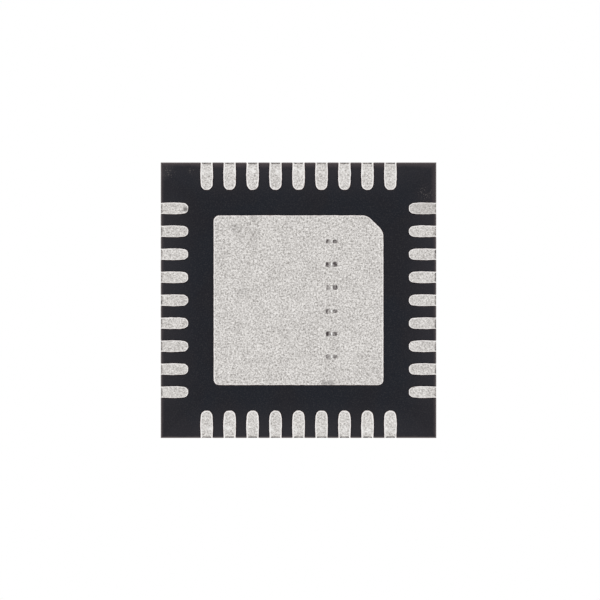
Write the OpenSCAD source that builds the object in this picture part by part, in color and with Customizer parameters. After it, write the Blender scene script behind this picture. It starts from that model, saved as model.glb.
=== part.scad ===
// Square leadless chip package, sawn from a moulded strip.
// The seating plane is Z = 0 and holds the solder lands and the exposed pad,
// which face down. The origin is the middle of that plane. Terminal 1 is at
// the -X, +Y corner, and the count runs anticlockwise seen from above.

/* [Terminals] */
// Number of terminals along each side
leads_per_side = 9; // [5:1:12]
// Distance between the centre lines of neighbouring terminals
lead_pitch = 0.5; // [0.4:0.01:0.8]
// Length of a solder land from the sawn edge to its inner tip
lead_l = 0.6; // [0.4:0.01:0.8]
// Land width in the two rows that run along X
row_lead_w = 0.28; // [0.22:0.01:0.36]
// Land width in the two columns that run along Y
column_lead_w = 0.26; // [0.22:0.01:0.36]
// Straight stretch left between the two round corners of a land's inner tip
tip_flat = 0.03; // [0.01:0.01:0.1]
// Reach of a terminal's upper half past its land, which locks it in the mould
lock_l = 0.1; // [0.04:0.01:0.14]
// Width of the relief etched into a land's outer end
relief_w = 0.21; // [0.1:0.01:0.21]
// Depth of that relief, measured in from the sawn edge
relief_d = 0.04; // [0.02:0.005:0.08]
// Radius of that relief's two inner corners
relief_r = 0.035; // [0.01:0.005:0.045]
// Height of that relief above the seating plane
relief_h = 0.1; // [0.04:0.01:0.15]

/* [Moulded body] */
// Height from the seating plane to the top face
body_h = 0.85; // [0.75:0.01:1.2]
// Height of the mould's underside above the seating plane
standoff = 0.02; // [0.005:0.005:0.05]
// Distance from a side's land tips to the next side's first terminal centre line
corner_room = 0.4; // [0.34:0.01:0.8]
// Diameter of the terminal 1 dimple in the top face
mark_d = 0.45; // [0.2:0.05:0.8]
// Depth of that dimple
mark_depth = 0.03; // [0.01:0.005:0.06]
// Distance from the dimple's centre to both nearest edges
mark_inset = 0.75; // [0.5:0.05:1.2]

/* [Lead frame] */
// Thickness of the copper sheet
frame_t = 0.2; // [0.16:0.01:0.25]
// Thickness of copper left where the sheet is etched from below
etch_t = 0.1; // [0.06:0.01:0.13]
// Width of a corner tie bar
tie_w = 0.15; // [0.08:0.01:0.22]

/* [Exposed pad] */
// Gap between the pad and the tips of the lands
pad_gap = 0.55; // [0.42:0.01:0.8]
// Radius of the pad's three square corners
pad_corner_r = 0.12; // [0.05:0.01:0.3]
// Leg of the chamfer that marks terminal 1
pad_chamfer = 0.35; // [0.2:0.01:0.6]
// Radius where the chamfer runs into the pad's sides
chamfer_r = 0.24; // [0.05:0.01:0.4]
// Reach of the paddle's upper half past the pad, which locks it in the mould
pad_lip = 0.15; // [0.05:0.01:0.2]

/* [Probe dents] */
// Number of dent pairs in the pad
dent_rows = 6; // [1:1:6]
// Distance between pairs
dent_pitch = 0.5; // [0.3:0.01:0.55]
// Distance between the two dents of a pair
dent_pair = 0.16; // [0.12:0.01:0.4]
// Diameter of a dent
dent_d = 0.1; // [0.05:0.01:0.11]
// Depth of a dent
dent_depth = 0.012; // [0.004:0.002:0.03]
// Distance of the dent columns from the pad's centre, towards terminals 1 to 9
dent_off_x = 0.72; // [0:0.01:1]
// Distance of the middle of the columns from the pad's centre, along +Y
dent_off_y = 0.03; // [0:0.01:0.2]

/* [Die and bonds] */
// Distance from the die's edge to the paddle's edge
die_margin = 0.7; // [0.4:0.01:0.9]
// Thickness of the die
die_t = 0.25; // [0.15:0.01:0.3]
// Thickness of the die attach
attach_t = 0.03; // [0.01:0.005:0.06]
// Reach of the die attach past the die
attach_reach = 0.06; // [0.02:0.01:0.15]
// Diameter of a bond wire
wire_d = 0.025; // [0.018:0.001:0.05]
// Height above the die of the arch that shapes a wire's loop
loop_h = 0.2; // [0.12:0.01:0.25]
// Diameter of the ball that bonds a wire to the die
ball_d = 0.07; // [0.055:0.005:0.12]
// Height of that ball
ball_h = 0.015; // [0.01:0.005:0.03]
// Distance from a ball's centre to the die's edge
bond_inset = 0.1; // [0.07:0.01:0.2]
// Distance along the edge from the die's corner to the first ball's centre
bond_corner = 0.3; // [0.25:0.01:0.6]
// Distance from a terminal's inner end to the wire's stitch on it
stitch_inset = 0.12; // [0.06:0.01:0.3]

/* [Hidden] */
// Steps in a full turn of a curve
$fn = 48;
// Overrun of a cut past the face that it opens
cut = 0.01;
// Steps in each round corner of the pad
corner_steps = 8;
// Sides of a bond wire and lengths that make up its loop
wire_sides = 8;
wire_steps = 5;
// Share of a wire's run at which the second control point of its arch stands
loop_lean = 0.5;
// Turn of the pad's outline at each end of the chamfer
chamfer_turn = 45;

SIDES = ["west", "south", "east", "north"];
terminal_count = len(SIDES) * leads_per_side;
row_span = (leads_per_side - 1) * lead_pitch;
body_w = row_span + 2 * (lead_l + corner_room);
half_body = body_w / 2;
pad_w = body_w - 2 * (lead_l + pad_gap);
paddle_w = pad_w + 2 * pad_lip;
lip_z = frame_t - etch_t;
dent_r = (dent_d * dent_d / 4 + dent_depth * dent_depth) / (2 * dent_depth);
die_w = paddle_w - 2 * die_margin;
die_z = frame_t + attach_t;
die_top = die_z + die_t;
bond_pitch = (die_w - 2 * bond_corner) / (leads_per_side - 1);

function terminal_name(i) = str("terminal_", i < 10 ? "0" : "", i);
function wires_name(side) = str("bond_wires_", SIDES[side]);
function side_of(i) = floor((i - 1) / leads_per_side);
function place_of(i) = (i - 1) % leads_per_side;
function lead_w(side) = side % 2 == 0 ? column_lead_w : row_lead_w;
// Distance of a copy from the middle of its row, the first copy at the +Y end
function along(place, pitch) = ((leads_per_side - 1) / 2 - place) * pitch;

// Points of an arc about c, from angle a to angle b
function arc(c, r, a, b) = [
    for (i = [0 : corner_steps])
        let (turn = a + (b - a) * i / corner_steps)
        c + r * [cos(turn), sin(turn)]
];

// A tongue with two round corners that runs in from the sawn edge at X = 0, or from that far outside it
module tongue(w, l, r, outside) {
    flat = w - 2 * r;
    translate([-outside, -w / 2]) square([outside + l - r, w]);
    translate([-outside, -flat / 2]) square([outside + l, flat]);
    for (s = [-1, 1]) translate([l - r, s * flat / 2]) circle(r);
}

module land_outline(w, l, outside) {
    tongue(w, l, (w - tip_flat) / 2, outside);
}

// A terminal before the relief is etched: a full land below, a longer lock above
module terminal_blank(w, outside = 0) {
    linear_extrude(frame_t) land_outline(w, lead_l, outside);
    translate([0, 0, lip_z]) linear_extrude(etch_t) land_outline(w, lead_l + lock_l, outside);
}

// The inner half of a dimple that was etched across the saw line
module terminal_relief() {
    translate([0, 0, -cut]) linear_extrude(relief_h + cut)
        tongue(relief_w, relief_d, min(relief_r, relief_d), cut);
}

// Puts a terminal's own frame at its place on the sawn edge
module at_terminal(i) {
    rotate(90 * side_of(i)) translate([-half_body, along(place_of(i), lead_pitch), 0]) children();
}

module terminal(i) {
    color([0.82, 0.81, 0.80]) at_terminal(i) difference() {
        terminal_blank(lead_w(side_of(i)));
        terminal_relief();
    }
}

// Outline of the pad, grown outwards by the lip where asked
module pad_outline(grow) {
    h = pad_w / 2 + grow;
    r = pad_corner_r + grow;
    leg = pad_chamfer + grow * (2 - sqrt(2));
    cr = chamfer_r + grow;
    run = leg + cr * tan(chamfer_turn / 2);
    polygon(concat(
        arc([h - r, h - r], r, 90, 0),
        arc([h - r, r - h], r, 0, -90),
        arc([r - h, r - h], r, -90, -180),
        arc([cr - h, h - run], cr, 180, 180 - chamfer_turn),
        arc([run - h, h - cr], cr, 180 - chamfer_turn, 90)
    ));
}

// The two crossed strips whose ends are the four corner tie bars
module tie_bars(outside) {
    intersection() {
        square(body_w + 2 * outside, center = true);
        for (a = [45, 135]) rotate(a) square([2 * body_w, tie_w], center = true);
    }
}

// The paddle before it is dented: the pad below, a lip and tie bars above
module paddle_blank(outside = 0) {
    linear_extrude(frame_t) pad_outline(0);
    translate([0, 0, lip_z]) linear_extrude(etch_t) union() {
        pad_outline(pad_lip);
        tie_bars(outside);
    }
}

// Shallow round dents left by test probes, in pairs down the pad
module probe_dents() {
    for (row = [0 : dent_rows - 1], s = [-1, 1])
        translate([
            s * dent_pair / 2 - dent_off_x,
            dent_off_y + ((dent_rows - 1) / 2 - row) * dent_pitch,
            dent_depth - dent_r
        ]) sphere(dent_r);
}

module die_paddle() {
    color([0.80, 0.79, 0.78]) difference() {
        paddle_blank();
        probe_dents();
    }
}

module die_attach() {
    w = die_w + 2 * attach_reach;
    color([0.62, 0.61, 0.58]) translate([-w / 2, -w / 2, frame_t]) cube([w, w, attach_t]);
}

module die() {
    color([0.30, 0.32, 0.36]) translate([-die_w / 2, -die_w / 2, die_z]) cube([die_w, die_w, die_t]);
}

// Point and slope of a wire's loop, a cubic arch from (0, a) to (run, b) under control height c
function loop_point(t, run, a, b, c) = [
    run * (3 * loop_lean * (1 - t) * t * t + t * t * t),
    a * pow(1 - t, 3) + 3 * c * t * (1 - t) + b * pow(t, 3)
];
function loop_slope(t, run, a, b, c) = [
    run * (6 * loop_lean * t - 9 * loop_lean * t * t + 3 * t * t),
    3 * c * (1 - 2 * t) - 3 * a * pow(1 - t, 2) + 3 * b * t * t
];
// Direction across the wire in its own upright plane, level at both ends so that they seat flat
function loop_across(step, slope) =
    step == 0 ? [1, 0] : step == wire_steps ? [-1, 0] : [slope[1], -slope[0]] / norm(slope);

// A bond wire along X from the ball's top at X = 0 to the stitch at X = run
module wire_loop(run) {
    r = wire_d / 2;
    a = die_top + ball_h;
    c = die_top + loop_h;
    points = [
        for (step = [0 : wire_steps])
            let (
                t = step / wire_steps,
                p = loop_point(t, run, a, frame_t, c),
                q = loop_across(step, loop_slope(t, run, a, frame_t, c))
            )
            for (k = [0 : wire_sides - 1])
                let (turn = 360 * k / wire_sides)
                [p[0] + r * cos(turn) * q[0], r * sin(turn), p[1] + r * cos(turn) * q[1]]
    ];
    walls = [
        for (step = [0 : wire_steps - 1], k = [0 : wire_sides - 1])
            let (n = step * wire_sides, next = (k + 1) % wire_sides)
            [n + k, n + k + wire_sides, n + next + wire_sides, n + next]
    ];
    start = [[for (k = [0 : wire_sides - 1]) k]];
    end = [[for (k = [wire_sides - 1 : -1 : 0]) wire_steps * wire_sides + k]];
    polyhedron(points, concat(start, walls, end));
}

// Ball and loop of each wire on one side, from the die's edge to the terminals
module side_wires(side) {
    ball_x = bond_inset - die_w / 2;
    stitch_x = lead_l + lock_l - stitch_inset - half_body;
    rotate(90 * side) for (place = [0 : leads_per_side - 1]) {
        ball = [ball_x, along(place, bond_pitch)];
        way = [stitch_x, along(place, lead_pitch)] - ball;
        translate(ball) {
            translate([0, 0, die_top]) cylinder(d = ball_d, h = ball_h);
            rotate(atan2(way[1], way[0])) wire_loop(norm(way));
        }
    }
}

module bond_wires(side) {
    color([0.85, 0.65, 0.30]) side_wires(side);
}

// The mould fills the block round every other piece, so its cavities are their very forms
module mould_body() {
    color([0.16, 0.16, 0.18]) difference() {
        translate([-half_body, -half_body, standoff]) cube([body_w, body_w, body_h - standoff]);
        paddle_blank(cut);
        die_attach();
        die();
        for (i = [1 : terminal_count]) at_terminal(i) terminal_blank(lead_w(side_of(i)), cut);
        for (side = [0 : len(SIDES) - 1]) side_wires(side);
        translate([mark_inset - half_body, half_body - mark_inset, body_h - mark_depth])
            cylinder(d = mark_d, h = mark_depth + cut);
    }
}

mould_body();
die_paddle();
die_attach();
die();
for (i = [1 : terminal_count]) terminal(i);
for (side = [0 : len(SIDES) - 1]) bond_wires(side);
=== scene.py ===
# %% [markdown]
# This lesson shows the solder side of a leadless chip. Such a package has no legs: thirty-six
# copper terminals and one large copper pad lie in a block of dark moulding compound, and the
# photograph looks straight at their plated faces. The solids come ready made at their real size,
# so the lesson only gives them their looks. It loads them before anything else and keeps their
# box, because nothing that is added later may make the chip any bigger.

# %% Load the solids
import math
from collections import namedtuple

import bmesh
import bpy
from mathutils import Matrix, Vector, noise


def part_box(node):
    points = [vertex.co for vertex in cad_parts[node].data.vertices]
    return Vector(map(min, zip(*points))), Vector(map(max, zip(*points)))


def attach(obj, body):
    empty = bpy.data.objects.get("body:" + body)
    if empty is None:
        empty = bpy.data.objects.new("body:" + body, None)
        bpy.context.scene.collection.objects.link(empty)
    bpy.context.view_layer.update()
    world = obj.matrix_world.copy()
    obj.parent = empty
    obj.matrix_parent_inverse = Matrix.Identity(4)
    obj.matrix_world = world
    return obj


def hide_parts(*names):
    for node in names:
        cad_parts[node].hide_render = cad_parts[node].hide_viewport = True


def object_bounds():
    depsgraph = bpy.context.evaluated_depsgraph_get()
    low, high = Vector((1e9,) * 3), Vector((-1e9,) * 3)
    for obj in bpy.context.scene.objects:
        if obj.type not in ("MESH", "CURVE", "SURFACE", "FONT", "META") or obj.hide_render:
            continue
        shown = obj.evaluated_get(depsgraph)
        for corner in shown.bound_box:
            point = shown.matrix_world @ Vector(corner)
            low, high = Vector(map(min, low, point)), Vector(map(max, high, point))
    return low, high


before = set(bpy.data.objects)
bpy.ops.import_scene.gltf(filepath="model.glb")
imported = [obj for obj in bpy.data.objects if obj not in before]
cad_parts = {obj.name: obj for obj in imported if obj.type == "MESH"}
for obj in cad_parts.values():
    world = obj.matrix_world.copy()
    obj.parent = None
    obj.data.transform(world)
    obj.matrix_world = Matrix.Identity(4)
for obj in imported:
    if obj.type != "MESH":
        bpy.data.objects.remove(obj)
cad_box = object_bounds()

MM = 0.001
scene = bpy.context.scene
print("solids:", len(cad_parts), "size in mm:", [round(x / MM, 3) for x in cad_box[1] - cad_box[0]])

# %% [markdown]
# The photograph was taken square on. In the chip's own frame the lands face down, so the camera
# stands below the chip and looks up, with +Y at the top of the picture. An orthographic camera
# would show much the same, but a long lens far away is what a copy stand has, and it keeps the
# sides of the package out of sight too. Its distance follows from the width that the picture
# takes in, and it is aimed a hair off the chip's middle, as in the photograph. All sizes in this
# file are millimetres, and MM turns them into metres.

# %% Camera
PICTURE_W = 13.06
AIM = (-0.032, 0.005)
LENS = 200
SENSOR = 36
camera = bpy.data.objects.new("camera", bpy.data.cameras.new("camera"))
camera.data.lens = LENS
camera.data.sensor_width = SENSOR
camera.data.clip_start = MM
camera.location = Vector((AIM[0], AIM[1], -PICTURE_W * LENS / SENSOR)) * MM
camera.rotation_euler = (0, math.pi, 0)
scene.collection.objects.link(camera)
scene.camera = camera
scene.view_settings.view_transform = "Standard"
print("camera distance in mm:", round(-camera.location.z / MM, 1))

# %% [markdown]
# The world and every finish below are small networks of shader nodes. The editor shows them as
# boxes and wires. In a script a few helpers keep them readable: put adds a node, plug sets or
# wires its inputs, maths, times and mix stand for the nodes that come up most, and lay covers
# one colour with another where a mask says so.

# %% Helpers for shader nodes
def plug(tree, node, inputs):
    for key, value in inputs.items():
        if isinstance(value, bpy.types.NodeSocket):
            tree.links.new(value, node.inputs[key])
        else:
            node.inputs[key].default_value = value


def put(tree, kind, inputs, **options):
    node = tree.nodes.new(kind)
    for option, value in options.items():
        setattr(node, option, value)
    plug(tree, node, inputs)
    return node


def maths(tree, operation, a, b=0.0):
    return put(tree, "ShaderNodeMath", {0: a, 1: b}, operation=operation).outputs[0]


def times(tree, a, b):
    return maths(tree, "MULTIPLY", a, b)


def mix(tree, share, a, b):
    return put(tree, "ShaderNodeMix", {0: share, 6: a, 7: b}, data_type="RGBA").outputs[2]


def lay(tree, under, over, mask, strength):
    return mix(tree, times(tree, mask, strength), under, over)


print("helpers:", [helper.__name__ for helper in (plug, put, maths, times, mix, lay)])

# %% [markdown]
# The picture has a white ground and no shadow, as under a light tent. The world is that tent:
# white where the camera or a reflection meets it, and a little less bright as a light, so that
# the soft boxes can still give the chip some form. A gradient or a photographed sky could light
# the chip as well, but one plain colour all round renders without noise.

# %% World
TENT_LIGHT = 0.69
world = bpy.data.worlds.new("light_tent")
world.use_nodes = True
scene.world = world
tent = world.node_tree
path = put(tent, "ShaderNodeLightPath", {}).outputs
seen = maths(tent, "MAXIMUM", path["Is Camera Ray"], path["Is Glossy Ray"])
seen = maths(tent, "MAXIMUM", seen, path["Is Transmission Ray"])
dim = (TENT_LIGHT, TENT_LIGHT, TENT_LIGHT, 1.0)
plug(tent, tent.nodes["Background"], {"Color": mix(tent, seen, dim, (1.0, 1.0, 1.0, 1.0))})
print("tent light:", TENT_LIGHT)

# %% [markdown]
# Soft boxes are area lamps, since point lamps would leave hard glints on metal. Two stand below,
# to either side of the camera, so that rounded rims catch more light than flat faces do. They are
# kept dim, or the plating would clip to white. Two stand above, for anyone who walks round the
# chip and looks at its upper face. Each lamp is aimed by turning its own -Z axis at the chip.

# %% Soft boxes
BOX_SIZE = 90
SOFT_BOXES = {
    "box_below_right": ((-150, 70, -70), 0.014),
    "box_below_left": ((150, 60, -80), 0.012),
    "box_above_key": ((-110, -90, 140), 0.14),
    "box_above_fill": ((130, 60, 110), 0.06),
}
for name, (place, watts) in SOFT_BOXES.items():
    lamp = bpy.data.lights.new(name, "AREA")
    lamp.size = BOX_SIZE * MM
    lamp.energy = watts
    stand = bpy.data.objects.new(name, lamp)
    stand.location = Vector(place) * MM
    stand.rotation_euler = (-Vector(place)).to_track_quat("-Z", "Y").to_euler()
    scene.collection.objects.link(stand)
print("soft boxes:", len(SOFT_BOXES))

# %% [markdown]
# Colours are written as they should look in the picture, from 0 to 255. Blender reckons in linear
# light, so colour converts them. Of the other helpers fade is a soft step, cloud is noise, and
# start_finish begins a material. All patterns read Object coordinates, which stay with a piece
# and need no unwrapping.

# %% Helpers for colours and patterns
def linear(value):
    share = value / 255
    return share / 12.92 if share <= 0.04045 else ((share + 0.055) / 1.055) ** 2.4


def colour(red, green, blue):
    return linear(red), linear(green), linear(blue), 1.0


def fade(tree, value, start, end):
    inputs = {"Value": value, "From Min": start, "From Max": end}
    return put(tree, "ShaderNodeMapRange", inputs, interpolation_type="SMOOTHSTEP").outputs[0]


def cloud(tree, where, scale, detail=2.0, distortion=0.0):
    inputs = {"Vector": where, "Scale": scale, "Detail": detail, "Distortion": distortion}
    return put(tree, "ShaderNodeTexNoise", inputs).outputs[0]


def start_finish(name):
    material = bpy.data.materials.new(name)
    material.use_nodes = True
    tree = material.node_tree
    where = put(tree, "ShaderNodeTexCoord", {}).outputs["Object"]
    return material, tree, tree.nodes["Principled BSDF"], where


print("a mid grey of 128 is written as", round(linear(128), 3))

# %% [markdown]
# The chip rests on a plain pale table. Seen from below, a solid table would hide the chip, so
# this one is a sheet that shows only to a camera above it: the Backfacing output of the Geometry
# node tells the two faces of the sheet apart. All other rays pass through it, and towards its
# edge it fades into the white of the tent.

# %% Table
TABLE_R = 180
TABLE_Z = -0.004
FADE_FROM = 25
FADE_TO = 110
sheet = bmesh.new()
bmesh.ops.create_circle(sheet, cap_ends=True, segments=96, radius=TABLE_R * MM)
bmesh.ops.translate(sheet, verts=sheet.verts, vec=(0, 0, TABLE_Z * MM))
table = bpy.data.objects.new("table", bpy.data.meshes.new("table"))
sheet.to_mesh(table.data)
sheet.free()
scene.collection.objects.link(table)

paper, tree, shader, where = start_finish("pale_table")
distance = put(tree, "ShaderNodeVectorMath", {0: where}, operation="LENGTH").outputs["Value"]
front = maths(tree, "SUBTRACT", 1.0, put(tree, "ShaderNodeNewGeometry", {}).outputs["Backfacing"])
front = times(tree, front, put(tree, "ShaderNodeLightPath", {}).outputs["Is Camera Ray"])
front = times(tree, front, fade(tree, distance, FADE_TO * MM, FADE_FROM * MM))
fibres = cloud(tree, where, 900, 4)
plug(tree, shader, {"Base Color": mix(tree, fibres, colour(226, 226, 226), colour(236, 236, 235))})
plug(tree, shader, {"Roughness": 0.9, "Specular IOR Level": 0.1})
clear = put(tree, "ShaderNodeBsdfTransparent", {})
blend = put(tree, "ShaderNodeMixShader", {0: front, 1: clear.outputs[0], 2: shader.outputs[0]})
tree.links.new(blend.outputs[0], tree.nodes["Material Output"].inputs["Surface"])
table.data.materials.append(paper)
print("table radius in mm:", TABLE_R)

# %% [markdown]
# Matt tin is what the lands and the pad are plated with. It grows as a felt of tiny crystals,
# and close up it shows fine worm-like grain about 0.03 mm wide. A picture of tin could stand for
# it, but would show seams. Here one noise, bent by its own distortion, gives the worms, and a
# broader one gives the drift from patch to patch. Both plated finishes, the etched hollows and
# the dents need the grain, so it is a node group, built once and placed with its own values.

# %% Grain of the plating
def start_group(name, inputs, outputs):
    group = bpy.data.node_groups.new(name, "ShaderNodeTree")
    for label, kind in inputs.items():
        group.interface.new_socket(label, in_out="INPUT", socket_type=f"NodeSocket{kind}")
    for label in outputs:
        group.interface.new_socket(label, in_out="OUTPUT", socket_type="NodeSocketFloat")
    return group, group.nodes.new("NodeGroupInput").outputs, group.nodes.new("NodeGroupOutput")


plating_grain, given, result = start_group(
    "plating_grain", {"Vector": "Vector", "Scale": "Float", "Contrast": "Float"}, ["Tone"]
)
worms = cloud(plating_grain, given["Vector"], given["Scale"], 1.5, 0.7)
drift = cloud(plating_grain, given["Vector"], times(plating_grain, given["Scale"], 0.08), 3)
worms = maths(plating_grain, "SUBTRACT", worms, 0.5)
drift = times(plating_grain, maths(plating_grain, "SUBTRACT", drift, 0.5), 0.16)
swing = times(plating_grain, maths(plating_grain, "ADD", worms, drift), given["Contrast"])
plug(plating_grain, result, {"Tone": maths(plating_grain, "ADD", swing, 0.5)})
print("node group:", plating_grain.name)

# %% [markdown]
# A few marks belong to one place: a smudge on the pad, a blot on one land, dust in a corner. They
# could be painted by hand. As a spot with a centre, a radius and a ragged edge each is easier to
# move. The distance to the centre is shaken by noise before it fades, so that no spot is a clean
# disc.

# %% Spots
def use_group(tree, group, inputs):
    node = tree.nodes.new("ShaderNodeGroup")
    node.node_tree = group
    plug(tree, node, inputs)
    return node.outputs


spot, given, result = start_group(
    "spot", {"Vector": "Vector", "Centre": "Vector", "Radius": "Float", "Ragged": "Float"}, ["Mask"]
)
span = put(spot, "ShaderNodeVectorMath", {0: given["Vector"], 1: given["Centre"]}, operation="DISTANCE")
shake = maths(spot, "SUBTRACT", cloud(spot, given["Vector"], 26000, 2), 0.5)
shake = maths(spot, "ADD", times(spot, shake, given["Ragged"]), 1.0)
share = maths(spot, "DIVIDE", span.outputs["Value"], times(spot, given["Radius"], shake))
plug(spot, result, {"Mask": fade(spot, share, 1.0, 0.35)})


def spotted(tree, where, centre, radius, ragged):
    place = (centre[0] * MM, centre[1] * MM, 0)
    inputs = {"Vector": where, "Centre": place, "Radius": radius * MM, "Ragged": ragged}
    return use_group(tree, spot, inputs)["Mask"]


print("node group:", spot.name)

# %% [markdown]
# Packages are sawn out of a moulded strip, and several marks follow the four sawn sides. The
# next group measures how far a point lies from the nearest side and from the next one, which is
# near only in a corner. The block is square and centred, so plain arithmetic on the coordinates
# does it. The compound uses both for its painted light, a paler border and a highlight along the
# edges, and the lands and their hollows use the first.

# %% Distance from the sawn sides
HALF_BODY = cad_box[1].x / MM
sawn_side, given, result = start_group("sawn_side", {"Vector": "Vector"}, ["Distance", "Next"])
axes = put(sawn_side, "ShaderNodeSeparateXYZ", {0: given["Vector"]}).outputs
across = [maths(sawn_side, "ABSOLUTE", axes[axis]) for axis in ("X", "Y")]
for label, pick in (("Distance", "MAXIMUM"), ("Next", "MINIMUM")):
    from_middle = maths(sawn_side, pick, *across)
    plug(sawn_side, result, {label: maths(sawn_side, "SUBTRACT", HALF_BODY * MM, from_middle)})
print("half width of the body in mm:", round(HALF_BODY, 3))

# %% [markdown]
# Two sides of the chip are rows, which run along X, and two are columns. The rows were handled
# more: their lands have test marks and their hollows more grime. The compound beside them is painted
# paler too, as painted light. A point belongs to a row where it lies farther out along Y than along
# X, and that is all that this group works out.

# %% Rows and columns
in_row, given, result = start_group("in_row", {"Vector": "Vector"}, ["Mask"])
axes = put(in_row, "ShaderNodeSeparateXYZ", {0: given["Vector"]}).outputs
across = [maths(in_row, "ABSOLUTE", axes[axis]) for axis in ("X", "Y")]
plug(in_row, result, {"Mask": maths(in_row, "GREATER_THAN", across[1], across[0])})
print("node group:", in_row.name)

# %% [markdown]
# The saw leaves fine level scratches on everything that it cuts, compound and copper alike. On
# two sides they run along X and on the other two along Y, and on each side the other of the two
# coordinates is constant, so their sum runs along every side. Noise that is drawn out along that
# sum and fine along Z makes the scratches, with no need to unwrap the sides.

# %% Scratches of the saw
def stretch(tree, where, scale):
    return put(tree, "ShaderNodeMapping", {"Vector": where, "Scale": scale}).outputs[0]


saw_lines, given, result = start_group("saw_lines", {"Vector": "Vector"}, ["Tone"])
axes = put(saw_lines, "ShaderNodeSeparateXYZ", {0: given["Vector"]}).outputs
along = maths(saw_lines, "ADD", axes["X"], axes["Y"])
line = put(saw_lines, "ShaderNodeCombineXYZ", {"X": along, "Y": axes["Z"]}).outputs[0]
coarse = cloud(saw_lines, stretch(saw_lines, line, (900, 26000, 1)), 1.0, 3)
fine = cloud(saw_lines, stretch(saw_lines, line, (2500, 90000, 1)), 1.0, 2)
lines = maths(saw_lines, "ADD", coarse, times(saw_lines, fine, 0.7))
plug(saw_lines, result, {"Tone": fade(saw_lines, lines, 0.6, 1.1)})
print("node group:", saw_lines.name)

# %% [markdown]
# The block is epoxy filled with glass dust: nearly black, with a cold cast, and matt. It is not
# one flat grey. Flow and cure leave broad clouds, some bluer and some greyer, and the filler shows as
# fine specks. Towards the sawn sides a paler border is painted in as painted light, less in the corners.
# The solid already has the right shape, so it stays and only gets a finish, in this cell and the
# next three.

# %% Colour of the compound
BORDER_W = 0.9
CORNER_FROM = 0.95
CORNER_TO = 0.65
compound, tree, shader, where = start_finish("filled_epoxy")
clouds = fade(tree, cloud(tree, where, 900, 2, 0.5), 0.36, 0.64)
black = mix(tree, clouds, colour(30, 33, 41), colour(34, 34, 40))
specks = fade(tree, cloud(tree, where, 38000, 1), 0.46, 0.78)
black = lay(tree, black, colour(72, 70, 72), specks, 0.35)
edges = use_group(tree, sawn_side, {"Vector": where})
distance = edges["Distance"]
rows = use_group(tree, in_row, {"Vector": where})["Mask"]
corner = fade(tree, edges["Next"], CORNER_FROM * MM, CORNER_TO * MM)
# painted light: a paler border is painted in towards the sawn sides, more beside the rows and less in the
# corners
pale = maths(tree, "ADD", times(tree, rows, 0.12), 0.48)
pale = maths(tree, "SUBTRACT", pale, times(tree, corner, 0.22))
black = lay(tree, black, colour(60, 58, 63), fade(tree, distance, BORDER_W * MM, 0), pale)
print("pale border in mm:", BORDER_W)

# %% [markdown]
# Dust has settled near the corners. Each patch is a spot that is filled with single grains, which
# are the middles of the cells of a Voronoi texture, and in one corner a thin film lies below the
# grains. Tiny meshes could be scattered there as well, but at this size colour is enough.

# %% Dust near the corners
FILM = ((3.0, 2.86), 0.32)
DUST = (
    ((2.86, 2.8), 0.22),
    ((2.33, 2.82), 0.1),
    ((-2.77, 2.33), 0.22),
)
black = lay(tree, black, colour(72, 70, 72), spotted(tree, where, *FILM, 0.4), 0.5)
grains = put(tree, "ShaderNodeTexVoronoi", {"Vector": where, "Scale": 30000}).outputs["Distance"]
grains = fade(tree, grains, 0.42, 0.1)
for centre, radius in DUST:
    black = lay(tree, black, colour(104, 99, 98), spotted(tree, where, centre, radius, 0.9), grains)
print("patches of dust:", len(DUST))

# %% [markdown]
# A ragged grey strip along the edges is a painted highlight, the light that the edges catch. It is
# broadest along the +Y side and round one corner of that side, and narrowest along the -Y side, and
# the very edge is painted palest. Where the surface turns upright both are weaker. The strip is the
# distance from the sawn side again, shaken by noise and divided by how far the highlight reaches at that
# point.

# %% Painted highlight on the edges of the compound
STRIP_W = 0.06
ROW_LESS = 0.03
NORTH_MORE = 0.09
NORTH_Y = 2.98
LIT_CORNER_MORE = 0.06
LIT_CORNER = ((-2.98, 2.55), 0.75)
RAGGED = 0.045
EDGE_GLINT_W = 0.03
upright = put(tree, "ShaderNodeNewGeometry", {}).outputs["True Normal"]
upright = put(tree, "ShaderNodeSeparateXYZ", {0: upright}).outputs["Z"]
side = fade(tree, maths(tree, "ABSOLUTE", upright), 0.6, 0.3)
level = maths(tree, "SUBTRACT", 1.0, times(tree, side, 0.6))
# painted highlight: broadest towards +Y and round the lit corner, narrowest along -Y
north = put(tree, "ShaderNodeSeparateXYZ", {0: where}).outputs["Y"]
north = times(tree, fade(tree, north, 0, NORTH_Y * MM), rows)
north = times(tree, north, maths(tree, "SUBTRACT", 1.0, times(tree, corner, 0.4)))
reach = maths(tree, "SUBTRACT", STRIP_W * MM, times(tree, rows, ROW_LESS * MM))
reach = maths(tree, "ADD", reach, times(tree, north, NORTH_MORE * MM))
reach = maths(tree, "ADD", reach, times(tree, spotted(tree, where, *LIT_CORNER, 0.3), LIT_CORNER_MORE * MM))
ragged = times(tree, cloud(tree, where, 9000, 2), RAGGED * MM)
edge_highlight = maths(tree, "DIVIDE", maths(tree, "SUBTRACT", distance, ragged), reach)
depth = times(tree, maths(tree, "ADD", times(tree, north, 0.28), 0.5), level)
black = lay(tree, black, colour(88, 80, 82), fade(tree, edge_highlight, 1.0, 0.0), depth)
# painted highlight: the very edge is painted palest
edge_glint = maths(tree, "SUBTRACT", level, 0.4)
black = lay(tree, black, colour(162, 153, 150), fade(tree, distance, EDGE_GLINT_W * MM, 0), edge_glint)
print("worn strip in mm:", STRIP_W)

# %% [markdown]
# The blade scored the sides of the block, so the scratches show only where the surface stands
# upright. Specks and scratches are far too fine to model, and go into the bump as well as the
# colour. Then the finish goes onto the solid, in place of the plain one that it came with.

# %% Sawn sides of the compound
COMPOUND_BUMP = 0.0012


def bumps(tree, height, reach):
    return put(tree, "ShaderNodeBump", {"Height": height, "Distance": reach * MM}).outputs[0]


def finish_solid(name, finish):
    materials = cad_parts[name].data.materials
    materials.clear()
    materials.append(finish)


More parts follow.
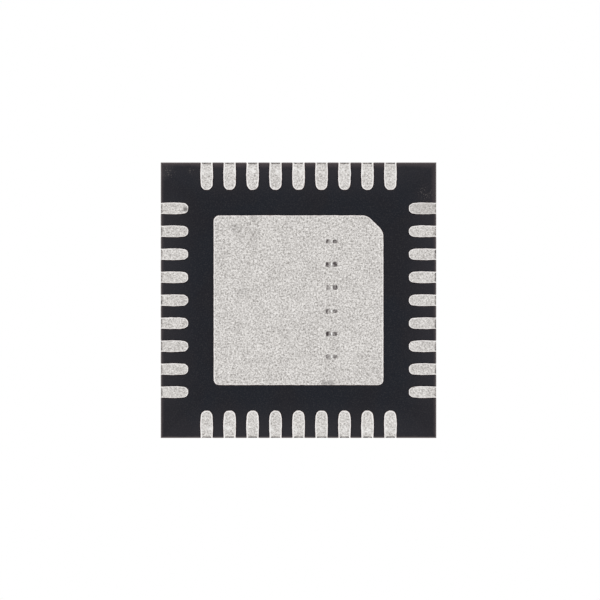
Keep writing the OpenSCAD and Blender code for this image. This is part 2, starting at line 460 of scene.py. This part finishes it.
scratches = use_group(tree, saw_lines, {"Vector": where})["Tone"]
black = lay(tree, black, colour(74, 71, 72), side, times(tree, scratches, 0.5))
height = maths(tree, "ADD", specks, times(tree, scratches, side))
rough = maths(tree, "ADD", times(tree, clouds, 0.08), 0.56)
plug(tree, shader, {"Base Color": black, "Roughness": rough, "Specular IOR Level": 0.12})
plug(tree, shader, {"Normal": bumps(tree, height, COMPOUND_BUMP)})
finish_solid("mould_body", compound)
print("finish:", compound.name)

# %% [markdown]
# Plated faces are warm light grey. The rim of every plated piece is rounded, and a painted highlight
# makes it paler. The rim is the only plated part that lies above the seating plane, so the height of a
# point tells the shader where it is, and no edge has to be marked. The painted highlight is strongest
# on rims that face along X, less on those that face +Y and least on those that face -Y, as their
# normal tells. At its outer edge the tin is thin and a little copper glows through, and further up,
# where the wall is buried in the compound, it ends.

# %% Plating
RIM_H = 0.004
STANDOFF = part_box("mould_body")[0].z / MM


# painted highlight: rims are painted paler, strongest where they face along X
def rim_highlight(tree, where, height, highlight_strength):
    facing = put(tree, "ShaderNodeNewGeometry", {}).outputs["True Normal"]
    facing = put(tree, "ShaderNodeSeparateXYZ", {0: facing}).outputs
    ends = fade(tree, maths(tree, "ABSOLUTE", facing["X"]), 0.03, 0.12)
    upper = times(tree, fade(tree, facing["Y"], 0.03, 0.12), 0.5)
    rim_lit = maths(tree, "ADD", maths(tree, "MAXIMUM", ends, upper), 0.45)
    rim_lit = times(tree, rim_lit, fade(tree, cloud(tree, where, 7000, 2), 0.2, 0.5))
    rim_lit = times(tree, rim_lit, highlight_strength)
    return times(tree, fade(tree, height, 0, 0.06 * RIM_H * MM), rim_lit)


def plated(tree, where, scale, contrast, highlight_strength):
    tone = use_group(tree, plating_grain, {"Vector": where, "Scale": scale, "Contrast": contrast})["Tone"]
    tin = mix(tree, fade(tree, tone, -0.45, 1.35), colour(147, 143, 139), colour(248, 245, 242))
    height = put(tree, "ShaderNodeSeparateXYZ", {0: where}).outputs["Z"]
    rim = rim_highlight(tree, where, height, highlight_strength)
    # painted highlight: the colour of the lit rim
    tin = mix(tree, rim, tin, colour(252, 251, 250))
    thin = fade(tree, height, 0.32 * RIM_H * MM, 0.6 * RIM_H * MM)
    tin = lay(tree, tin, colour(190, 164, 156), thin, 0.8)
    buried = fade(tree, height, 0.8 * STANDOFF * MM, 1.2 * STANDOFF * MM)
    return tone, rim, mix(tree, buried, tin, colour(42, 38, 38))


print("standoff in mm:", round(STANDOFF, 3))

# %% [markdown]
# Test probes struck the pad in six pairs, and no two strikes are alike. Each row of the list
# below is one pair as the picture shows it: for the dent nearer the middle of the pad and then
# for the other, how dark its smut is and how tall it is for its width, then how strong the glint,
# a painted highlight, is on the ridge of metal between the two, and last how far the pair lies
# below its place in an even row, in millimetres. Chance could scatter them too, but finish and
# mesh have to agree on every dent, so both use the list.

# %% Probe strikes
DENT_X = -0.72
DENT_Y = 0.03
DENT_PITCH = 0.5
Strike = namedtuple("Strike", ("near_smut", "near_height", "far_smut", "far_height", "glint", "drop"))
STRIKES = (
    Strike(0.8, 0.85, 0.6, 0.75, 0.25, 0.0),
    Strike(0.76, 0.95, 0.64, 1.05, 0.85, 0.0),
    Strike(0.55, 1.0, 0.72, 0.95, 0.7, 0.0),
    Strike(0.76, 0.95, 0.6, 0.72, 0.85, 0.017),
    Strike(0.92, 1.0, 0.65, 0.85, 1.0, 0.012),
    Strike(0.64, 0.85, 0.52, 0.68, 0.7, 0.006),
)


def dent_y(row):
    return DENT_Y + ((len(STRIKES) - 1) / 2 - row) * DENT_PITCH - STRIKES[row].drop


print("strikes:", len(STRIKES), "dents:", 2 * len(STRIKES))

# %% [markdown]
# The pad is the largest plated face. To the plating it adds fine dark pores, a few smudges and
# the glints between its dents, which are painted highlights. Each smudge in the list has a centre, a
# radius and a strength.

# %% Plated pad
TIN_BUMP = 0.002
GLINT_R = 0.035
SMUDGES = (
    ((-0.56, -1.81), 0.09, 0.4),
    ((-0.71, -1.8), 0.1, 0.45),
    ((1.41, 1.6), 0.12, 0.22),
    ((1.31, 1.55), 0.15, 0.16),
    ((0.98, 1.8), 0.12, 0.24),
    ((1.23, 0.2), 0.2, 0.12),
    ((1.7, 0.8), 0.15, 0.12),
)
pad_tin, tree, shader, where = start_finish("pad_tin")
tone, _, tin = plated(tree, where, 30000, 2.65, 0.75)
pores = fade(tree, cloud(tree, where, 23000, 1), 0.58, 0.7)
tin = lay(tree, tin, colour(112, 108, 105), pores, 0.42)
for centre, radius, strength in SMUDGES:
    tin = lay(tree, tin, colour(96, 92, 90), spotted(tree, where, centre, radius, 1.2), strength)
# painted highlight: a glint on the ridge between the two dents of each strike
for row, strike in enumerate(STRIKES):
    glint = spotted(tree, where, (DENT_X, dent_y(row)), GLINT_R, 0.8)
    tin = lay(tree, tin, colour(250, 250, 249), glint, strike.glint)
rough = maths(tree, "SUBTRACT", 0.52, times(tree, tone, 0.16))
plug(tree, shader, {"Base Color": tin, "Roughness": rough, "Metallic": 1.0})
plug(tree, shader, {"Normal": bumps(tree, tone, TIN_BUMP)})
print("finish:", pad_tin.name)

# %% [markdown]
# The lands have the same plating with marks of their own. The pins of the test socket press on
# the two rows a fifth of a millimetre in from the edge and leave bright patches, and the columns
# have grey stains instead. The first land is more tarnished than the rest, and one land near a
# corner has a dark blot at its tip. Stains and tarnish leave the painted rim highlights alone. One
# finish serves all the lands, because each mark knows its place on the chip.

# %% Plated lands
PRESS_AT = 0.19
PRESS_FROM = 0.11
PRESS_TO = 0.01
TARNISH = ((-2.72, 2.0), 0.42)
BLOT = ((2.46, 1.98), 0.07)
land_tin, tree, shader, where = start_finish("land_tin")
tone, rim, tin = plated(tree, where, 31000, 2.5, 1.15)
# stains and tarnish stay off the painted rim highlight
off_rim_highlight = maths(tree, "SUBTRACT", 1.0, rim)
distance = use_group(tree, sawn_side, {"Vector": where})["Distance"]
rows = use_group(tree, in_row, {"Vector": where})["Mask"]
press = maths(tree, "ABSOLUTE", maths(tree, "SUBTRACT", distance, PRESS_AT * MM))
press = times(tree, fade(tree, press, PRESS_FROM * MM, PRESS_TO * MM), rows)
press = times(tree, press, fade(tree, cloud(tree, where, 7500, 3), 0.45, 0.68))
tin = lay(tree, tin, colour(250, 249, 247), press, 0.65)
share = maths(tree, "SUBTRACT", 0.24, times(tree, rows, 0.22))
stain = times(tree, fade(tree, cloud(tree, where, 9000, 2), 0.46, 0.74), share)
tin = lay(tree, tin, colour(136, 131, 128), stain, off_rim_highlight)
dull = times(tree, spotted(tree, where, *TARNISH, 0.2), off_rim_highlight)
tin = lay(tree, tin, colour(150, 146, 142), dull, 0.3)
tin = lay(tree, tin, colour(80, 76, 75), spotted(tree, where, *BLOT, 1.0), 0.7)
rough = maths(tree, "SUBTRACT", 0.5, times(tree, tone, 0.16))
plug(tree, shader, {"Base Color": tin, "Roughness": rough, "Metallic": 1.0})
plug(tree, shader, {"Normal": bumps(tree, tone, TIN_BUMP)})
print("finish:", land_tin.name)

# %% [markdown]
# At its outer end each land has a shallow arch etched out of it, so that solder can climb there
# and be seen. The arch is only flashed with tin and holds grime from the saw, so it is dark and
# patchy, most of all at the cut. In the rows every arch is dirty, in the columns only some, and a
# broad noise picks those.

# %% Etched relief
CLEAN_FROM = 0.012
CLEAN_TO = 0.032
relief_tin, tree, shader, where = start_finish("relief_tin")
tone = use_group(tree, plating_grain, {"Vector": where, "Scale": 16000, "Contrast": 3.0})["Tone"]
dusty = mix(tree, fade(tree, tone, 0.0, 1.0), colour(156, 151, 148), colour(210, 205, 202))
grimy = mix(tree, fade(tree, tone, 0.0, 1.0), colour(96, 91, 89), colour(180, 175, 172))
dirty = fade(tree, cloud(tree, where, 4200, 2), 0.47, 0.57)
dirty = maths(tree, "MAXIMUM", use_group(tree, in_row, {"Vector": where})["Mask"], dirty)
grime = mix(tree, dirty, dusty, grimy)
distance = use_group(tree, sawn_side, {"Vector": where})["Distance"]
clean = fade(tree, distance, CLEAN_FROM * MM, CLEAN_TO * MM)
grime = lay(tree, grime, colour(206, 202, 199), clean, 0.75)
rough = maths(tree, "SUBTRACT", 0.62, times(tree, tone, 0.12))
plug(tree, shader, {"Base Color": grime, "Roughness": rough, "Metallic": 1.0})
plug(tree, shader, {"Normal": bumps(tree, tone, TIN_BUMP)})
print("finish:", relief_tin.name)

# %% [markdown]
# Where the saw went through the lead frame it laid bare copper: the ends of the terminals and of
# the corner tie bars. The cut shows level scratches, dulled by a thin brown oxide. The scratches
# are the group that the compound has too, so they run on from one to the other.

# %% Sawn copper
SCRATCH_BUMP = 0.0015
copper, tree, shader, where = start_finish("sawn_copper")
scratches = use_group(tree, saw_lines, {"Vector": where})["Tone"]
oxide = fade(tree, cloud(tree, where, 9000, 3), 0.4, 0.7)
metal = mix(tree, scratches, colour(172, 112, 84), colour(214, 158, 126))
metal = lay(tree, metal, colour(120, 80, 62), oxide, 0.55)
rough = maths(tree, "ADD", times(tree, oxide, 0.2), 0.34)
plug(tree, shader, {"Base Color": metal, "Roughness": rough, "Metallic": 1.0})
plug(tree, shader, {"Normal": bumps(tree, scratches, SCRATCH_BUMP)})
print("finish:", copper.name)

# %% [markdown]
# Inside the block the copper isn't bright. It was given a dark oxide before moulding, because the
# compound grips that better. Little of it shows, only in the hair of space round each land, and
# there it reads as a thin dark line. It is a crust and not bare metal, so the finish isn't
# metallic.

# %% Dark oxide
oxide_copper, tree, shader, where = start_finish("oxide_copper")
bloom = fade(tree, cloud(tree, where, 12000, 3), 0.35, 0.65)
crust = mix(tree, bloom, colour(30, 27, 28), colour(50, 43, 42))
rough = maths(tree, "ADD", times(tree, bloom, 0.15), 0.7)
plug(tree, shader, {"Base Color": crust, "Roughness": rough, "Specular IOR Level": 0.12})
print("finish:", oxide_copper.name)

# %% [markdown]
# Test probes dent the pad through the tin and leave dark smut in each dent. How dark it is comes
# from an attribute that is painted on the dented mesh later on, broken up by the same grain. A
# spot would do for a flat mark, but an attribute follows the shape of each dent.

# %% Smut in the dents
smut, tree, shader, where = start_finish("probe_smut")
tone = use_group(tree, plating_grain, {"Vector": where, "Scale": 22000, "Contrast": 2.4})["Tone"]
amount = put(tree, "ShaderNodeAttribute", {}, attribute_name="smut").outputs["Fac"]
broken = times(tree, maths(tree, "SUBTRACT", 0.5, tone), 0.6)
amount = maths(tree, "ADD", amount, broken)
dirt = mix(tree, fade(tree, amount, 0.0, 1.0), colour(204, 200, 197), colour(80, 73, 74))
rough = maths(tree, "ADD", times(tree, amount, 0.1), 0.5)
plug(tree, shader, {"Base Color": dirt, "Roughness": rough, "Metallic": 1.0})
plug(tree, shader, {"Normal": bumps(tree, tone, TIN_BUMP)})
print("finish:", smut.name)

# %% [markdown]
# The die, the layer that holds it and the bond wires are sealed in the block, but they are part
# of the chip and someone may cut it open. The die gets a mosaic of circuit blocks, the layer
# below it the glitter of silver flakes, and the wires the faint mottle of drawn gold. Their
# solids are right as they are, so only the finishes are new.

# %% Inner pieces
silicon, tree, shader, where = start_finish("silicon")
cells = put(tree, "ShaderNodeTexVoronoi", {"Vector": where, "Scale": 5200}, distance="CHEBYCHEV")
blocks = fade(tree, cells.outputs["Distance"], 0.1, 0.5)
plug(tree, shader, {"Base Color": mix(tree, blocks, colour(70, 74, 92), colour(112, 106, 120))})
plug(tree, shader, {"Roughness": maths(tree, "ADD", times(tree, blocks, 0.1), 0.16)})
flakes, tree, shader, where = start_finish("silver_epoxy")
glitter = fade(tree, cloud(tree, where, 60000, 2), 0.4, 0.7)
plug(tree, shader, {"Base Color": mix(tree, glitter, colour(128, 126, 120), colour(206, 204, 198))})
plug(tree, shader, {"Roughness": maths(tree, "SUBTRACT", 0.6, times(tree, glitter, 0.2))})
plug(tree, shader, {"Metallic": 0.7})
gold, tree, shader, where = start_finish("gold_wire")
drawn = cloud(tree, where, 90000, 2)
plug(tree, shader, {"Base Color": mix(tree, drawn, colour(214, 160, 72), colour(246, 208, 128))})
plug(tree, shader, {"Roughness": maths(tree, "ADD", times(tree, drawn, 0.1), 0.18)})
plug(tree, shader, {"Metallic": 1.0})
INNER = {"die": silicon, "die_attach": flakes}
INNER.update({f"bond_wires_{edge}": gold for edge in ("west", "south", "east", "north")})
for name, finish in INNER.items():
    finish_solid(name, finish)
print("inner pieces:", len(INNER))

# %% [markdown]
# The terminals and the pad are modelled anew, because etched and plated copper is never as sharp
# as its solid: the outline wanders by a few thousandths of a millimetre, the plating rounds the
# rim, and a hair of space is left between metal and compound. Copies of the solids could be bent,
# but their triangles are too long for that. All pieces are built in millimetres and only turned
# into metres at the end, which keeps the tools clear of rounding. The helpers here extrude faces
# and move what they made, round corners, and find a face by its place.

# %% Helpers for meshes
def whole(faces):
    return list(dict.fromkeys(part for face in faces for part in (face, *face.edges, *face.verts)))


def pull(bm, faces, shift):
    made = bmesh.ops.extrude_face_region(bm, geom=whole(faces))["geom"]
    verts = [part for part in made if isinstance(part, bmesh.types.BMVert)]
    bmesh.ops.translate(bm, verts=verts, vec=shift)
    return verts


def round_corners(bm, verts, reach, steps):
    made = bmesh.ops.bevel(bm, geom=verts, offset=reach, segments=steps, profile=0.5,
                           affect="VERTICES", material=-1)
    return made["verts"]


def middle(face):
    return face.calc_center_median()


def lowest(bm):
    return min(bm.faces, key=lambda face: middle(face).z)


print("helpers:", [helper.__name__ for helper in (whole, pull, round_corners, middle, lowest)])

# %% [markdown]
# A land starts as eight points: a rectangle that runs in from the sawn edge at X = 0, with a
# notch in that edge for the relief. One vertex bevel rounds the two inner corners of the notch,
# another the two corners of the tip. The long edges are then cut into short lengths, so that they
# can swell towards the middle and wander like an etched line. A drawn curve could give the
# outline too, but bevels keep its radii as plain numbers.

# %% Outline of a land
CREVICE = 0.003
WOBBLE = 0.006
WOBBLE_RATE = 19
OTHER_NOISE = Vector((0, 0, 37.5))
LOCK_L = 0.1
LAND_L = (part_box("terminal_01")[1].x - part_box("terminal_01")[0].x) / MM - LOCK_L
SIDE_CUTS = 17
TIP_FLAT = 0.05
RELIEF_W = 0.21
RELIEF_D = 0.04
RELIEF_R = 0.035
WIDEST = 0.27
SAW_DROP = 0.007
TIP_DROP = 0.024


def wander(point, seed, reach=WOBBLE):
    place = Vector((point.x * WOBBLE_RATE, point.y * WOBBLE_RATE, seed))
    return Vector((noise.noise(place), noise.noise(place + OTHER_NOISE), 0)) * reach


def swell(u):
    if u < WIDEST:
        share = u / WIDEST
        return SAW_DROP * (1 - share * share * (3 - 2 * share))
    return TIP_DROP * ((u - WIDEST) / (LAND_L - WIDEST)) ** 2


def land_outline(bm, half_w, seed):
    notch = RELIEF_W / 2
    half = ((LAND_L - CREVICE, half_w), (0, half_w), (0, notch), (RELIEF_D, notch))
    corners = [*half, *((u, -v) for u, v in reversed(half))]
    verts = [bm.verts.new((u, v, 0)) for u, v in corners]
    bm.faces.new(verts)
    round_corners(bm, verts[3:5], RELIEF_R, steps=6)
    tip = [vert for vert in bm.verts if vert.co.x > LAND_L / 2]
    round_corners(bm, tip, half_w - TIP_FLAT / 2, steps=9)
    sides = [edge for edge in bm.edges if edge.calc_length() > half_w]
    bmesh.ops.subdivide_edges(bm, edges=sides, cuts=SIDE_CUTS)
    for vert in bm.verts:
        shift = wander(vert.co, seed) * min(1, vert.co.x / WIDEST)
        vert.co.y *= 1 - swell(vert.co.x) / half_w
        if vert.co.x > RELIEF_D:
            vert.co += shift


print("land length in mm:", round(LAND_L, 3))

# %% [markdown]
# The outline is raised in two steps, because the copper sheet was etched from below to half its
# thickness: the upper half reaches further in and locks the terminal in the block. The faces of
# the tip are pulled in for that lock, and the faces of the arch are pulled back to the sawn
# plane, since the relief is only as deep as the lower half. Two stacked solids would leave walls
# inside the metal, and pulled faces leave none.

# %% Body of a terminal
LIP_Z = 0.1
FRAME_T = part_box("terminal_01")[1].z / MM
NEAR = 0.001
MERGE = 0.00001


def upper_walls(bm):
    bm.normal_update()
    return [face for face in bm.faces if middle(face).z > LIP_Z and abs(face.normal.z) < 0.5]


def raise_terminal(bm, half_w):
    pull(bm, list(bm.faces), (0, 0, LIP_Z))
    roof = [face for face in bm.faces if middle(face).z > 0.9 * LIP_Z]
    pull(bm, roof, (0, 0, FRAME_T - LIP_Z))
    tip_from = LAND_L - half_w
    tip = [face for face in upper_walls(bm) if middle(face).x > tip_from]
    pull(bm, tip, (LOCK_L, 0, 0))
    arch = [face for face in upper_walls(bm) if abs(middle(face).y) < RELIEF_W / 2 + CREVICE]
    arch = [face for face in arch if NEAR < middle(face).x < 1.1 * RELIEF_D]
    for vert in pull(bm, arch, (0, 0, 0)):
        vert.co.x = 0
    bmesh.ops.remove_doubles(bm, verts=bm.verts, dist=MERGE)
    bmesh.ops.recalc_face_normals(bm, faces=bm.faces)


print("copper sheet in mm:", round(FRAME_T, 3), "its lower half:", LIP_Z)

# %% [markdown]
# The plated rim is a bevel of five steps along the outer outline, pressed flat, so that it faces
# nearly down and stays bright. A Bevel modifier would round every edge. Here the edges of the
# notch and of the sawn plane stay crisp, and the rim is a little narrower than the horns that
# stand on either side of the notch.

# %% Rim of a terminal
RIM_STEPS = 5
RIM_SHARE = 0.92


def roll_rim(bm, edges, width):
    bmesh.ops.bevel(bm, geom=edges, offset=width, segments=RIM_STEPS, profile=0.5,
                    affect="EDGES", material=-1)
    for vert in bm.verts:
        if vert.co.z < 1.01 * width:
            vert.co.z *= RIM_H / width


def edge_middle(edge):
    return (edge.verts[0].co + edge.verts[1].co) / 2


def in_notch(place):
    return place.x < 1.01 * RELIEF_D and abs(place.y) < 1.01 * RELIEF_W / 2


def round_rim(bm, half_w):
    outline = [edge for edge in lowest(bm).edges if not in_notch(edge_middle(edge))]
    rim = [edge for edge in outline if edge_middle(edge).x > 0]
    horn = (half_w - RELIEF_W / 2) * (1 - SAW_DROP / half_w)
    roll_rim(bm, rim, RIM_SHARE * horn)


print("height of a rim in mm:", RIM_H)

# %% [markdown]
# Each face of a terminal gets its finish by where it lies: tin below, grime in the notch, copper
# at the saw, and oxide inside the block. Faces could be picked by hand in the editor, but a rule
# works for all thirty-six at once. Shading is smooth, with creases at sharp edges and round the
# flat land, which would look domed without one.

# %% Finishes of a terminal
TIN, COPPER, RELIEF, OXIDE = range(4)
CREASE = math.radians(35)


def soften(bm, flat):
    for face in bm.faces:
        face.smooth = True
    for edge in bm.edges:
        edge.smooth = flat not in edge.link_faces and edge.calc_face_angle(0) < CREASE


def paint_terminal(bm):
    bm.normal_update()
    for face in bm.faces:
        place = middle(face)
        face.material_index = TIN if place.z < 0.9 * LIP_Z else OXIDE
        if RIM_H < place.z < 1.01 * LIP_Z and in_notch(place):
            face.material_index = RELIEF
        if face.normal.x < -0.99 and place.x < NEAR:
            face.material_index = COPPER
    soften(bm, lowest(bm))


print("finishes of a terminal:", OXIDE + 1)

# %% [markdown]
# Thirty-six terminals are one loop. Each takes its width and its place from its own solid: the
# solid's box is turned back to the first side, measured there, and the new piece is turned to
# where the box came from. Copies of one mesh would be quicker, but the seed of an outline is the
# terminal's number, so no two are alike and every run gives the same ones.

# %% All terminals
LEADS_PER_SIDE = 9


def to_piece(bm, name, place, finishes):
    bmesh.ops.transform(bm, matrix=Matrix.Scale(MM, 4) @ place, verts=bm.verts)
    piece = bpy.data.objects.new(name, bpy.data.meshes.new(name))
    bm.to_mesh(piece.data)
    bm.free()
    for finish in finishes:
        piece.data.materials.append(finish)
    scene.collection.objects.link(piece)
    return piece


def make_terminal(number):
    name = f"terminal_{number:02d}"
    turn = Matrix.Rotation(math.radians(90 * ((number - 1) // LEADS_PER_SIDE)), 4, "Z")
    low, high = [turn.inverted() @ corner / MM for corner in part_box(name)]
    half_w = abs(high.y - low.y) / 2 - CREVICE
    bm = bmesh.new()
    land_outline(bm, half_w, number)
    raise_terminal(bm, half_w)
    round_rim(bm, half_w)
    paint_terminal(bm)
    place = turn @ Matrix.Translation((-HALF_BODY, (low.y + high.y) / 2, 0))
    piece = to_piece(bm, f"plated_{name}", place, (land_tin, copper, relief_tin, oxide_copper))
    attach(piece, "root")
    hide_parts(name)
    return piece


terminals = [make_terminal(number) for number in range(1, 4 * LEADS_PER_SIDE + 1)]
print("terminals:", len(terminals), "faces each:", len(terminals[0].data.polygons))

# %% [markdown]
# The die paddle is etched from the same sheet. It is built from its upper half down: a square
# with three round corners and a chamfer that marks terminal 1 is extruded to half thickness,
# inset by the width of its lip, and the inset is pulled down to the seating plane as the pad. The
# inset keeps the lip equally wide all round, with no second outline to draw.

# %% Pad and lip
PAD_W = 3.7
PAD_LIP = 0.15
CORNER_R = 0.12
CHAMFER = 0.35
CHAMFER_R = 0.24


def paddle_blank(bm):
    bmesh.ops.create_grid(bm, x_segments=1, y_segments=1, size=PAD_W / 2 + PAD_LIP - CREVICE)
    bmesh.ops.translate(bm, verts=bm.verts, vec=(0, 0, FRAME_T))
    marked = [vert for vert in bm.verts if vert.co.x < 0 < vert.co.y]
    square = [vert for vert in bm.verts if vert not in marked]
    round_corners(bm, square, CORNER_R + PAD_LIP, steps=12)
    leg = CHAMFER + PAD_LIP * (2 - math.sqrt(2))
    ends = round_corners(bm, marked, leg, steps=1)
    ease = (CHAMFER_R + PAD_LIP) * math.tan(math.radians(22.5))
    round_corners(bm, ends, ease, steps=8)
    pull(bm, list(bm.faces), (0, 0, LIP_Z - FRAME_T))
    below = lowest(bm)
    bmesh.ops.inset_region(bm, faces=[below], thickness=PAD_LIP, use_boundary=True, use_even_offset=True)
    pull(bm, [below], (0, 0, -LIP_Z))


print("pad width in mm:", PAD_W)

# %% [markdown]
# Four tie bars held the paddle in the strip until the saw cut them at the corners. The wall of
# the lip is cut by three upright planes along each diagonal, and the faces between the outer two
# are pulled out to the corner of the block, where the bar ends in the two sawn sides. A box stuck
# into the paddle would overlap it, and here bar and paddle are one skin.

# %% Tie bars
TIE_W = 0.15


def corner_walls(bm, along):
    return [face for face in upper_walls(bm) if middle(face).dot(along) > PAD_W / 2]


def add_tie_bar(bm, angle):
    along = Vector((math.cos(angle), math.sin(angle), 0))
    across = Vector((-along.y, along.x, 0))
    for shift in (-TIE_W / 2, 0, TIE_W / 2):
        bmesh.ops.bisect_plane(bm, geom=whole(corner_walls(bm, along)), dist=MERGE,
                               plane_co=across * shift, plane_no=across)
    root = [face for face in corner_walls(bm, along) if abs(middle(face).dot(across)) < TIE_W / 2]
    for vert in pull(bm, root, (0, 0, 0)):
        aside = vert.co.dot(across)
        reach = HALF_BODY * math.sqrt(2) - abs(aside)
        vert.co = along * reach + across * aside + Vector((0, 0, vert.co.z))


print("tie bar width in mm:", TIE_W)

# %% [markdown]
# The pad's outline wanders a little too, so its straight edges are cut into short lengths before
# its rim is rounded like those of the lands. Then the paddle is put together and its faces get
# their finishes: tin on the pad, copper at the sawn ends of the bars, and oxide elsewhere.

# %% Rim of the pad
RIM_W = 0.024
PAD_CUTS = 47
PAD_TIN, PAD_OXIDE, TIE_END = range(3)


def round_pad(bm):
    straight = [edge for edge in lowest(bm).edges if edge.calc_length() > CORNER_R]
    bmesh.ops.subdivide_edges(bm, edges=straight, cuts=PAD_CUTS)
    pad = lowest(bm)
    for vert in pad.verts:
        vert.co += wander(vert.co, 0)
    bmesh.ops.recalc_face_normals(bm, faces=bm.faces)
    roll_rim(bm, list(pad.edges), RIM_W)
    bmesh.ops.recalc_face_normals(bm, faces=bm.faces)


def paint_paddle(bm):
    for face in bm.faces:
        place = middle(face)
        face.material_index = PAD_TIN if place.z < 0.9 * LIP_Z else PAD_OXIDE
        if max(abs(place.x), abs(place.y)) > 0.999 * HALF_BODY:
            face.material_index = TIE_END
    soften(bm, lowest(bm))


paddle_mesh = bmesh.new()
paddle_blank(paddle_mesh)
for quarter in range(4):
    add_tie_bar(paddle_mesh, math.radians(45 + 90 * quarter))
round_pad(paddle_mesh)
paint_paddle(paddle_mesh)
print("faces of the paddle:", len(paddle_mesh.faces))

# %% [markdown]
# The tip of a probe is nearly square, so each punch is a ball that is flattened and drawn out
# towards its four corners, as tall as the list of strikes says. Its middle lies as far below the
# pad's face as the dent is deep, and that is half of the ball's half height, so at the face it
# shows SUNK of its full width. A bump in the finish could only feign the dents, and they show in
# slanting light.

# %% Probe punches
DENT_PAIR = 0.145
DENT_D = 0.11
DENT_DEPTH = 0.012
DENT_WANDER = 0.008
DENT_SPREAD = 3
DENT_SEED = 5.5
SUNK = math.sqrt(3) / 2


def square_off(vert):
    corner = vert.co.xy.normalized() if vert.co.xy.length > 0 else Vector((1, 0))
    vert.co.xy /= (corner.x ** 4 + corner.y ** 4) ** 0.25


def add_punch(bm, centre, height):
    made = bmesh.ops.create_uvsphere(bm, u_segments=24, v_segments=16, radius=1)["verts"]
    for vert in made:
        square_off(vert)
    size = Vector((DENT_D / 2, DENT_D / 2 * height, 2 * SUNK * DENT_DEPTH)) / SUNK
    bmesh.ops.scale(bm, verts=made, vec=size)
    bmesh.ops.translate(bm, verts=made, vec=centre - Vector((0, 0, DENT_DEPTH)))


def probe_punches():
    bm = bmesh.new()
    struck = []
    for row, strike in enumerate(STRIKES):
        near = (1, strike.near_smut, strike.near_height)
        far = (-1, strike.far_smut, strike.far_height)
        for side, smut_there, height in (near, far):
            centre = Vector((DENT_X + side * DENT_PAIR / 2, dent_y(row), 0))
            centre += wander(centre * DENT_SPREAD, DENT_SEED, DENT_WANDER)
            add_punch(bm, centre, height)
            struck.append((centre, side, smut_there))
    for face in bm.faces:
        face.smooth = True
    return bm, struck


punch_mesh, struck = probe_punches()
punches = to_piece(punch_mesh, "punches", Matrix.Identity(4), (smut,))
print("punches:", len(struck))

# %% [markdown]
# A Boolean takes the punches out of the paddle and gives the cut faces the punch's finish, and
# its result is kept as the mesh. The face round the dents is then shaded flat, or it would look
# as if it bent towards them.

# %% Probe dents
FLAT = 0.99999
finishes = (pad_tin, oxide_copper, copper, smut)
paddle = to_piece(paddle_mesh, "plated_die_paddle", Matrix.Identity(4), finishes)
cut = paddle.modifiers.new("dents", "BOOLEAN")
cut.object = punches
cut.solver = "EXACT"
cut.material_mode = "TRANSFER"
dented = bpy.data.meshes.new_from_object(paddle.evaluated_get(bpy.context.evaluated_depsgraph_get()))
paddle.modifiers.clear()
paddle.data = dented
for polygon in dented.polygons:
    if polygon.normal.z < -FLAT:
        polygon.use_smooth = False
bpy.data.objects.remove(punches)
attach(paddle, "root")
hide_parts("die_paddle")
print("faces:", len(dented.polygons), "finishes:", [finish.name for finish in dented.materials])

# %% [markdown]
# The smut is uneven. In each pair the dent nearer the pad's middle is dark along the side away
# from its neighbour, and the other is dark all over. The attribute is written at the points of
# each dent from where they lie across it. A brush in the editor could paint it by hand as well.

# %% Paint the smut
SMUT_REACH = 1.4
paint = dented.attributes.new("smut", "FLOAT", "POINT")
painted = 0
for index, vert in enumerate(dented.vertices):
    place = vert.co / MM
    for centre, side, smut_there in struck:
        aside = (place - centre) / (DENT_D / 2)
        if aside.xy.length < SMUT_REACH and place.z < 2 * DENT_DEPTH:
            shade = min(max(0.75 + aside.x, 0.5), 1.0) if side > 0 else 1.0
            paint.data[index].value = shade * smut_there
            painted += 1
print("painted points:", painted)
